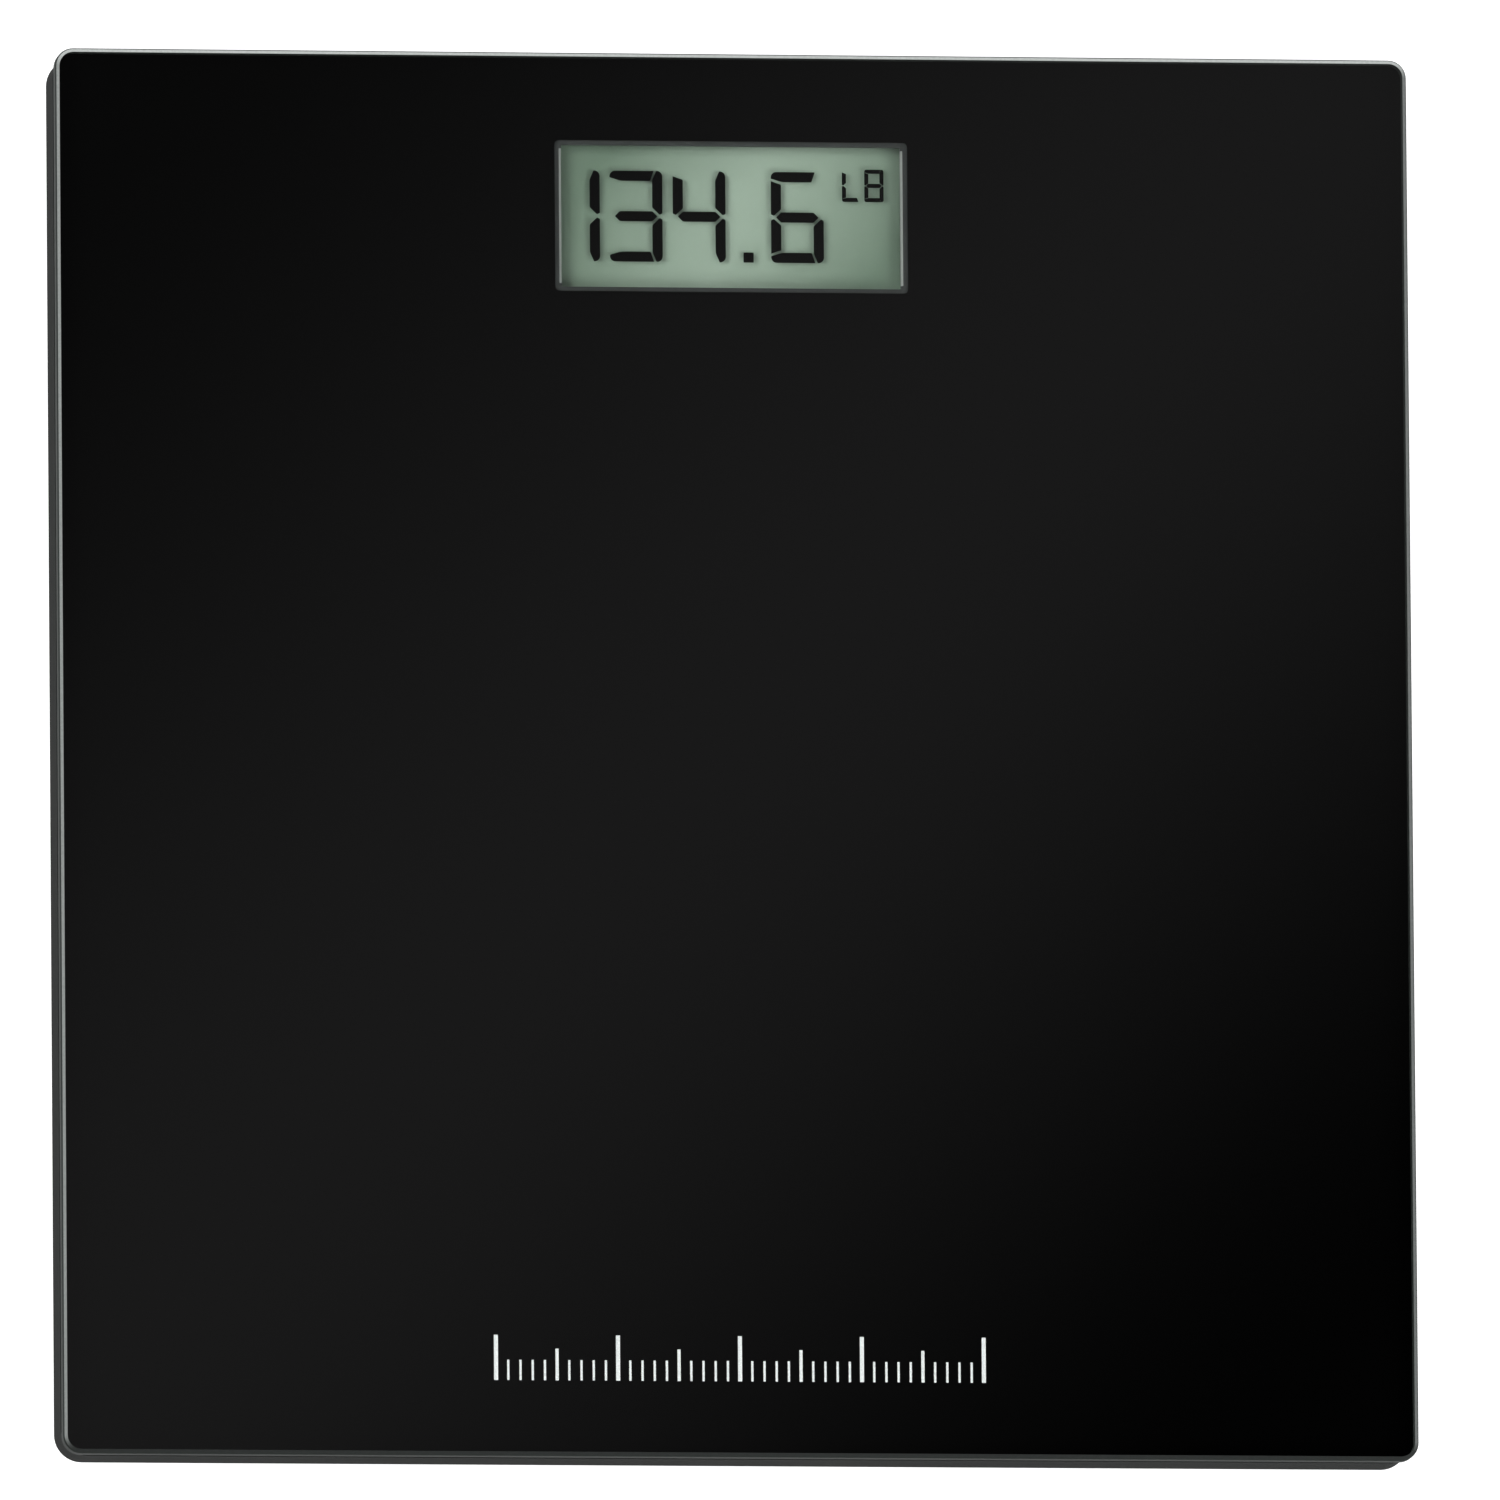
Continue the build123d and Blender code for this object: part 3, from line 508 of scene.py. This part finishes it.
screw_zinc = make_metal("screw_zinc", rgb(0.6, 0.61, 0.63), 0.1, 0.000005, 0.3)
chip_epoxy = make_plastic("chip_epoxy", rgb(0.01, 0.01, 0.01), 0.1, 500.0, 0.00003, 0.18)
chip_body = make_plastic("chip_body", rgb(0.015, 0.015, 0.016), 0.1, 2500.0, 0.00001, 0.5)
ceramic = make_plastic("resistor_ceramic", rgb(0.03, 0.03, 0.034), 0.1, 1500.0, 0.00001, 0.25)
crystal_can = make_metal("crystal_can", rgb(0.75, 0.74, 0.7), 0.05, 0.000003, 0.18)
dress(make_solder_mask(), "circuit_board")
dress(screw_zinc, "board_screws")
dress(chip_epoxy, "chip_coating")
dress(chip_body, "converter_chip")
dress(ceramic, "board_resistors")
dress(crystal_can, "clock_crystal")


# ---- Display -----------------------------------------------------------------
# A reflective liquid crystal display: two thin glasses with the segments
# between them, a polarising film in front and a grey-green reflector behind.
# A dark grey ABS bezel holds it down on two rubber contact strips.

VIEW_HALF_WIDTH = 0.0377
VIEW_HALF_DEPTH = 0.0158
PLATE_BEDDED = 0.00002
PLATE_EASING = 0.0001
PLATE_BEND = 1.12
# Where the painted pool of light on the reflector lies: shifted to the right, and leaning.
PAINTED_LIGHT_RIGHT = 0.002
PAINTED_LIGHT_LEAN = -0.45
LETTERS_RIGHT = 0.023
LETTER_SWELL = 0.00006

bezel_low, bezel_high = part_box("display_bezel")
display_middle = (bezel_low + bezel_high) / 2


def make_reflector_with_painted_light():
    """Grey-green reflector film with a faint pearly grain, its colour made into a painted pool of
    light at its middle and painted shade towards its sides and corners.
    """
    finish, tree, shader = new_finish("reflector_film_painted_light")
    where = place_on_piece(tree)
    centre = (-display_middle.x - PAINTED_LIGHT_RIGHT, -display_middle.y, 0.0)
    centred = put(tree, "Mapping", {"Vector": where, "Location": centre}).outputs["Vector"]
    axes = put(tree, "SeparateXYZ", {0: centred})
    # The painted pool of light leans: it lies further left towards the front.
    painted_light_lean = reckon(tree, "MULTIPLY_ADD", axes.outputs["Y"], PAINTED_LIGHT_LEAN, axes.outputs["X"])
    across = reckon(tree, "ABSOLUTE", reckon(tree, "DIVIDE", painted_light_lean, VIEW_HALF_WIDTH))
    up = reckon(tree, "ABSOLUTE", reckon(tree, "DIVIDE", axes.outputs["Y"], VIEW_HALF_DEPTH))
    side = reckon(tree, "POWER", across, 1.3)
    painted_shade = reckon(tree, "MULTIPLY_ADD", reckon(tree, "POWER", up, 3.0), 0.15, side)
    painted_shade = reckon(tree, "MINIMUM", painted_shade, 1.0)
    # Painted light and shade: the paler colour is the middle of the painted pool of light, the
    # darker one the painted shade at the sides and corners.
    colour = blend_colours(tree, painted_shade, rgb(0.322, 0.358, 0.326), rgb(0.146, 0.184, 0.152))
    pearl = ramp(tree, noise(tree, where, 5200.0), 0.25, 0.75, 0.96, 1.03)
    tree.links.new(shade(tree, colour, pearl), shader.inputs["Base Color"])
    shader.inputs["Roughness"].default_value = 0.6
    shader.inputs["Specular IOR Level"].default_value = 0.2
    return finish


def make_clear_glass(name, tint, lamp_tint, bend):
    """Clear glass that lets lamp light through to what lies behind it."""
    finish, tree, shader = new_finish(name)
    haze = ramp(tree, noise(tree, place_on_piece(tree), 40.0), 0.2, 0.8, 0.99, 1.0)
    tree.links.new(shade(tree, tint[:3], haze), shader.inputs["Base Color"])
    shader.inputs["Roughness"].default_value = 0.0
    shader.inputs["IOR"].default_value = bend
    shader.inputs["Transmission Weight"].default_value = 1.0
    clear = put(tree, "BsdfTransparent", {"Color": lamp_tint})
    rays = put(tree, "LightPath").outputs["Is Shadow Ray"]
    both = put(tree, "MixShader", {0: rays, 1: shader.outputs[0], 2: clear.outputs[0]})
    tree.links.new(both.outputs[0], tree.nodes["Material Output"].inputs["Surface"])
    return finish


def add_display_plate(name, low, high, finish, slot, *nodes):
    """One scribed and snapped plate of display glass, with its edges eased."""
    plate = add_block(name, "root", low, high, *nodes, slot=slot)
    shape(plate)
    pick(plate, "EDGE", lambda edge: True)
    bpy.ops.mesh.bevel(offset=PLATE_EASING, segments=1, affect="EDGES")
    done(plate, 20.0)
    plate.data.materials.append(finish)


def make_bezel_plastic_with_painted_glint():
    """Dark grey ABS whose two side bevels carry a painted highlight: a bright colour where they
    would catch the side lamps.
    """
    dark_grey = rgb(0.028, 0.03, 0.03)
    finish = make_plastic("bezel_abs_painted_glint", dark_grey, 0.15, 2600.0, 0.00003, 0.5, gloss=0.2)
    tree = finish.node_tree
    shader = tree.nodes["Principled BSDF"]
    plain = shader.inputs["Base Color"].links[0].from_socket
    facing_for_painted_light = put(tree, "SeparateXYZ", {0: put(tree, "TexCoord").outputs["Normal"]})
    glint_sideways = ramp(tree, reckon(tree, "ABSOLUTE", facing_for_painted_light.outputs["X"]), 0.4, 0.6)
    glint_upwards = ramp(tree, facing_for_painted_light.outputs["Z"], 0.3, 0.5)
    # Painted highlight: the sideways, upward-facing bevels get a bright colour in place of a
    # glint.
    bevel = reckon(tree, "MULTIPLY", glint_sideways, glint_upwards)
    colour = blend_colours(tree, bevel, plain, rgb(0.26, 0.265, 0.26))
    tree.links.new(colour, shader.inputs["Base Color"])
    return finish


black_foam = rgb(0.03, 0.03, 0.03)
gasket_foam = make_plastic("gasket_foam", black_foam, 0.3, 1200.0, 0.0001, 0.9, gloss=0.2)
edge_epoxy = make_plastic("edge_epoxy", rgb(0.3, 0.34, 0.3), 0.1, 900.0, 0.00002, 0.5)
dress(make_bezel_plastic_with_painted_glint(), "display_bezel")
dress(gasket_foam, "display_gasket")
dress(edge_epoxy, "lcd_edge_seal")
dress(make_reflector_with_painted_light(), "lcd_reflector")

GLASS_TINT = rgb(0.98, 0.99, 0.98)
rear_low, rear_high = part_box("lcd_rear_glass")
rear_low.z -= PLATE_BEDDED
add_display_plate(
    "display_rear_plate", rear_low, rear_high,
    make_clear_glass("display_glass", GLASS_TINT, GLASS_TINT, PLATE_BEND),
    "lcd_glass", "lcd_rear_glass",
)

# The front plate and its polarising film are one piece.
FILM_TINT = rgb(0.95, 0.98, 0.95)
front_low, front_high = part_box("lcd_front_glass")
front_high.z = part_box("lcd_front_polariser")[1].z
add_display_plate(
    "display_front_plate", front_low, front_high,
    make_clear_glass("polarised_glass", FILM_TINT, FILM_TINT, PLATE_BEND),
    "lcd_glass", "lcd_front_glass", "lcd_front_polariser",
)

CRYSTAL_COLOUR = rgb(0.001, 0.001, 0.001)
dark_crystal = make_plastic("dark_crystal", CRYSTAL_COLOUR, 0.2, 2500.0, 0.000005, 0.5, gloss=0.0)
dress(dark_crystal, "lcd_segments")


def add_lit_segments():
    """The lit segments, with heavier strokes in the two small letters of the unit."""
    only(frame["nodes"]["lcd_segments"])
    bpy.ops.object.duplicate(linked=False)
    segments = bpy.context.view_layer.objects.active
    del segments["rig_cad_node"]
    name_piece("lit_segments", "root", "lcd_segments", slot="segment_black")
    shape(segments)
    bpy.ops.mesh.select_all(action="SELECT")
    bpy.ops.mesh.remove_doubles(threshold=0.000001)
    bpy.ops.mesh.dissolve_limited(angle_limit=math.radians(1.0))
    pick(segments, "FACE", lambda face: abs(face.normal.z) < 0.5
         and face.calc_center_median().x > display_middle.x + LETTERS_RIGHT)
    bpy.ops.transform.shrink_fatten(value=LETTER_SWELL, use_even_offset=True)
    done(segments, 20.0)


add_lit_segments()


def make_contact_strip():
    """Rubber strip sliced into fine conducting and clear layers."""
    finish, tree, shader = new_finish("contact_strip")
    waves = {"Vector": place_on_piece(tree), "Scale": 800.0}
    slices = put(tree, "TexWave", waves, bands_direction="X").outputs["Fac"]
    slices = ramp(tree, slices, 0.4, 0.6)
    colour = blend_colours(tree, slices, rgb(0.02, 0.02, 0.02), rgb(0.6, 0.58, 0.52))
    tree.links.new(colour, shader.inputs["Base Color"])
    shader.inputs["Roughness"].default_value = 0.6
    return finish


dress(make_contact_strip(), "zebra_strips")


# ---- Wires -------------------------------------------------------------------
# Fine stranded wires in soft PVC, one of each colour from the board to each
# cell, and two from the battery contacts.

red_pvc = make_plastic("red_pvc", rgb(0.5, 0.02, 0.015), 0.1, 1200.0, 0.00001, 0.35)
black_pvc = make_plastic("black_pvc", rgb(0.012, 0.012, 0.012), 0.1, 1200.0, 0.00001, 0.35)
white_pvc = make_plastic("white_pvc", rgb(0.75, 0.75, 0.72), 0.06, 1200.0, 0.00001, 0.35)
dress(red_pvc, "cell_wires_red", "battery_wire_red")
dress(black_pvc, "cell_wires_black", "battery_wire_black")
dress(white_pvc, "cell_wires_white")


# ---- Bonding tape ------------------------------------------------------------
# Black acrylic foam tape, die cut to a frame, bonds the glass to the tray's rim.
# A square of the same tape bonds it to each cell holder.

TAPE_COLOUR = rgb(0.02, 0.02, 0.021)
acrylic_foam = make_plastic("acrylic_foam", TAPE_COLOUR, 0.3, 900.0, 0.00012, 0.85, gloss=0.2)
dress(acrylic_foam, "bonding_tape")


# ---- Glass platform ----------------------------------------------------------
# One plate of toughened float glass, 5 mm thick, with its corners rounded and
# its arrises ground. Black enamel is fired on its underside, with a clear
# window for the display and a row of white tick marks near the front edge.

CORNER_ROUND = 0.004
ARRIS = 0.0009
PRINT_BEDDED = 0.00002
CORNER_STEPS = 10
ARRIS_STEPS = 2
GLASS_BEND = 1.52
UNDERSIDE_BEND = 1.12
# How the painted light on the ground edges leans: towards the left and the back.
PAINTED_LIGHT_LEFT_SHARE = 0.14
PAINTED_LIGHT_BACK_SHIFT = 0.06


def make_print(name, colour, roughness, gloss):
    """Enamel laid down through a fine screen."""
    finish, tree, shader = new_finish(name)
    screen = noise(tree, place_on_piece(tree), 3500.0, detail=1.0)
    screen = ramp(tree, screen, 0.2, 0.8, 0.9, 1.1)
    tree.links.new(shade(tree, colour[:3], screen), shader.inputs["Base Color"])
    shader.inputs["Roughness"].default_value = roughness
    shader.inputs["Specular IOR Level"].default_value = gloss
    return finish


def make_ground_edge_with_painted_light(name, painted_shade_tint, painted_light_tint, roughness, gloss):
    """Glass ground matt with a fine wheel, its colour painted with light and shade by the way each
    face faces: painted shade to the front, then to the right.
    """
    finish, tree, shader = new_finish(name)
    facing_for_painted_light = put(tree, "SeparateXYZ", {0: put(tree, "TexCoord").outputs["Normal"]})
    painted_light_lean = reckon(tree, "MULTIPLY_ADD", facing_for_painted_light.outputs["X"], -PAINTED_LIGHT_LEFT_SHARE,
                  reckon(tree, "SUBTRACT", facing_for_painted_light.outputs["Y"], PAINTED_LIGHT_BACK_SHIFT))
    wheel = noise(tree, place_on_piece(tree), 2600.0, detail=3.0)
    # Painted light and shade: from the shaded front tint to the lit back tint, by the way the face
    # faces.
    tint = blend_colours(tree, ramp(tree, painted_light_lean, -0.38, 0.38), painted_shade_tint, painted_light_tint)
    tint = shade(tree, tint, ramp(tree, wheel, 0.2, 0.8, 0.85, 1.1))
    tree.links.new(tint, shader.inputs["Base Color"])
    shader.inputs["Roughness"].default_value = roughness
    shader.inputs["Specular IOR Level"].default_value = gloss
    tree.links.new(bump(tree, wheel, 0.00003), shader.inputs["Normal"])
    return finish


dress(make_print("fired_black_enamel", rgb(0.0008, 0.0008, 0.0008), 0.5, 0.0), "black_backprint")
dress(make_print("white_enamel", rgb(0.78, 0.79, 0.79), 0.5, 0.1), "graduation_marks")


# Painted shade to the front and painted light to the back of the seamed edges and ground arrises,
# brightest on the arrises.
SEAM_PAINTED_SHADE, SEAM_PAINTED_LIGHT = rgb(0.018, 0.021, 0.019), rgb(0.03, 0.034, 0.032)
ARRIS_PAINTED_SHADE, ARRIS_PAINTED_LIGHT = rgb(0.02, 0.022, 0.021), rgb(0.42, 0.44, 0.425)
CLEAR_TINT, LAMP_TINT = rgb(0.97, 0.99, 0.98), rgb(0.93, 0.96, 0.94)
plate_finishes = (
    make_clear_glass("float_glass", CLEAR_TINT, LAMP_TINT, GLASS_BEND),
    make_ground_edge_with_painted_light("seamed_edge_painted_light", SEAM_PAINTED_SHADE, SEAM_PAINTED_LIGHT, 0.45, 0.008),
    make_ground_edge_with_painted_light("ground_arris_painted_light", ARRIS_PAINTED_SHADE, ARRIS_PAINTED_LIGHT, 0.5, 0.06),
    make_clear_glass("float_glass_underside", CLEAR_TINT, LAMP_TINT, UNDERSIDE_BEND),
)


def finish_of(normal):
    """Which of the plate's finishes a face has, by the way it faces."""
    if abs(normal.z) > 0.99:
        return 0 if normal.z > 0 else 3
    return 2 if normal.z > 0.6 else 1


def add_glass_platform():
    """The plate, with its corners rounded first and then all its arrises ground."""
    low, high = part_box("glass_platform")
    low.z -= PRINT_BEDDED
    plate = add_block(
        "float_glass_platform", "root", low, high, "glass_platform", slot="clear_glass")
    shape(plate)
    pick(plate, "EDGE", upright)
    bpy.ops.mesh.bevel(offset=CORNER_ROUND, segments=CORNER_STEPS, affect="EDGES")
    pick(plate, "EDGE", lambda edge: any(abs(face.normal.z) > 0.9 for face in edge.link_faces)
         and any(abs(face.normal.z) < 0.1 for face in edge.link_faces))
    bpy.ops.mesh.bevel(offset=ARRIS, segments=ARRIS_STEPS, affect="EDGES")
    done(plate, 20.0)
    for finish in plate_finishes:
        plate.data.materials.append(finish)
    for face in plate.data.polygons:
        face.material_index = finish_of(face.normal)


add_glass_platform()


# ---- Studio ------------------------------------------------------------------
# A pale floor under soft light from all round, with a camera almost straight
# above. A dim card over the glass gives it its soft diagonal sheen.

FLOOR_HALF = 40.0
FLOOR_DROP = 0.0001
FLOOR_GLOW = 0.55
CARD_HEIGHT = 2.5
CARD_HALF = 0.75
BAND_DIM, BAND_BRIGHT = 0.04, 0.21
ROOM_GLOW = 0.7
CAMERA_TILT = math.tan(math.radians(7.1))
CAMERA_REACH = 11.0
CAMERA_ROLL = math.radians(0.44)
CAMERA_LENS = 1200.0
CAMERA_SENSOR = 36.0
CAMERA_SHIFT = (0.0085, 0.0027)


def add_floor():
    """A pale floor with a faint glow of its own."""
    finish, tree, shader = new_finish("studio_floor")
    cloud = noise(tree, place_on_piece(tree), 3.0)
    tone = blend_colours(tree, cloud, rgb(0.88, 0.88, 0.88), rgb(0.9, 0.9, 0.9))
    tree.links.new(tone, shader.inputs["Base Color"])
    shader.inputs["Roughness"].default_value = 0.9
    shader.inputs["Specular IOR Level"].default_value = 0.0
    shader.inputs["Emission Color"].default_value = rgb(1.0, 1.0, 1.0)
    shader.inputs["Emission Strength"].default_value = FLOOR_GLOW
    # From below the floor is clear, so that the underside can be looked at.
    clear = put(tree, "BsdfTransparent")
    below = put(tree, "NewGeometry").outputs["Backfacing"]
    both = put(tree, "MixShader", {0: below, 1: shader.outputs[0], 2: clear.outputs[0]})
    tree.links.new(both.outputs[0], tree.nodes["Material Output"].inputs["Surface"])
    bpy.ops.object.select_all(action="DESELECT")
    bpy.ops.mesh.primitive_plane_add(size=2 * FLOOR_HALF, location=(0, 0, -FLOOR_DROP))
    floor = bpy.context.view_layer.objects.active
    floor.name = "studio_floor"
    bpy.ops.object.transform_apply(location=True, rotation=True, scale=True)
    floor.data.materials.append(finish)


def add_sheen_card():
    """A dim card that only mirror-like surfaces see, with one soft diagonal band."""
    card_finish = bpy.data.materials.new("sheen_card")
    card_finish.use_nodes = True
    tree = card_finish.node_tree
    tree.nodes.remove(tree.nodes["Principled BSDF"])
    centre = CARD_HEIGHT * CAMERA_TILT
    centred = put(
        tree, "Mapping", {"Vector": place_on_piece(tree), "Location": (-centre, -centre, 0.0)})
    axes = put(tree, "SeparateXYZ", {0: centred.outputs["Vector"]})
    # Across the band: from the upper left corner to the lower right one.
    across = reckon(tree, "SUBTRACT", axes.outputs["X"], axes.outputs["Y"])
    rise = ramp(tree, across, -0.36, -0.01, BAND_DIM, BAND_BRIGHT)
    fall = ramp(tree, across, -0.01, 0.33, 0.0, BAND_BRIGHT)
    glow = reckon(tree, "SUBTRACT", rise, fall)
    light = put(tree, "Emission", {"Color": rgb(1.0, 0.99, 1.0), "Strength": glow})
    tree.links.new(light.outputs[0], tree.nodes["Material Output"].inputs["Surface"])
    bpy.ops.object.select_all(action="DESELECT")
    bpy.ops.mesh.primitive_plane_add(size=2 * CARD_HALF, location=(centre, centre, CARD_HEIGHT))
    card = bpy.context.view_layer.objects.active
    card.name = "sheen_card"
    bpy.ops.object.transform_apply(location=True, rotation=True, scale=True)
    card.data.materials.append(card_finish)
    card.visible_camera = False
    card.visible_diffuse = False
    card.visible_shadow = False


def add_softbox(name, place, size, power):
    """A square soft light that points at the middle of the floor."""
    light = bpy.data.lights.new(name, "AREA")
    light.shape = "SQUARE"
    light.size = size
    light.energy = power
    lamp = bpy.data.objects.new(name, light)
    bpy.context.scene.collection.objects.link(lamp)
    lamp.location = place
    lamp.rotation_euler = (-Vector(place)).to_track_quat("-Z", "Y").to_euler()


def add_camera():
    """A very long lens, almost straight above and a little to the left and front."""
    target = Vector((0.0, 0.0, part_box("glass_platform")[1].z))
    away = Vector((-CAMERA_TILT, -CAMERA_TILT, 1.0)).normalized()
    up = (Vector((0, 1, 0)) - away * away.y).normalized()
    right = up.cross(away)
    up, right = (up * math.cos(CAMERA_ROLL) + right * math.sin(CAMERA_ROLL),
                 right * math.cos(CAMERA_ROLL) - up * math.sin(CAMERA_ROLL))
    lens = bpy.data.cameras.new("camera")
    lens.sensor_width = CAMERA_SENSOR
    lens.lens = CAMERA_LENS
    lens.shift_x, lens.shift_y = CAMERA_SHIFT
    lens.clip_start, lens.clip_end = 0.1, 100.0
    camera = bpy.data.objects.new("camera", lens)
    bpy.context.scene.collection.objects.link(camera)
    turn = camera.matrix_world.to_3x3()
    turn.col[0], turn.col[1], turn.col[2] = right, up, away
    camera.matrix_world = turn.to_4x4()
    camera.location = target + away * CAMERA_REACH
    bpy.context.scene.camera = camera


add_floor()
add_sheen_card()
add_softbox("softbox_left", (-2.2, 0.6, 2.4), 1.6, 55.0)
add_softbox("softbox_right", (1.9, -1.2, 2.2), 1.6, 45.0)

world = bpy.data.worlds.new("soft_room")
world.use_nodes = True
room_light = world.node_tree.nodes["Background"]
room_light.inputs["Color"].default_value = rgb(0.97, 0.985, 1.0)
room_light.inputs["Strength"].default_value = ROOM_GLOW
bpy.context.scene.world = world
bpy.context.scene.view_settings.view_transform = "Standard"
add_camera()
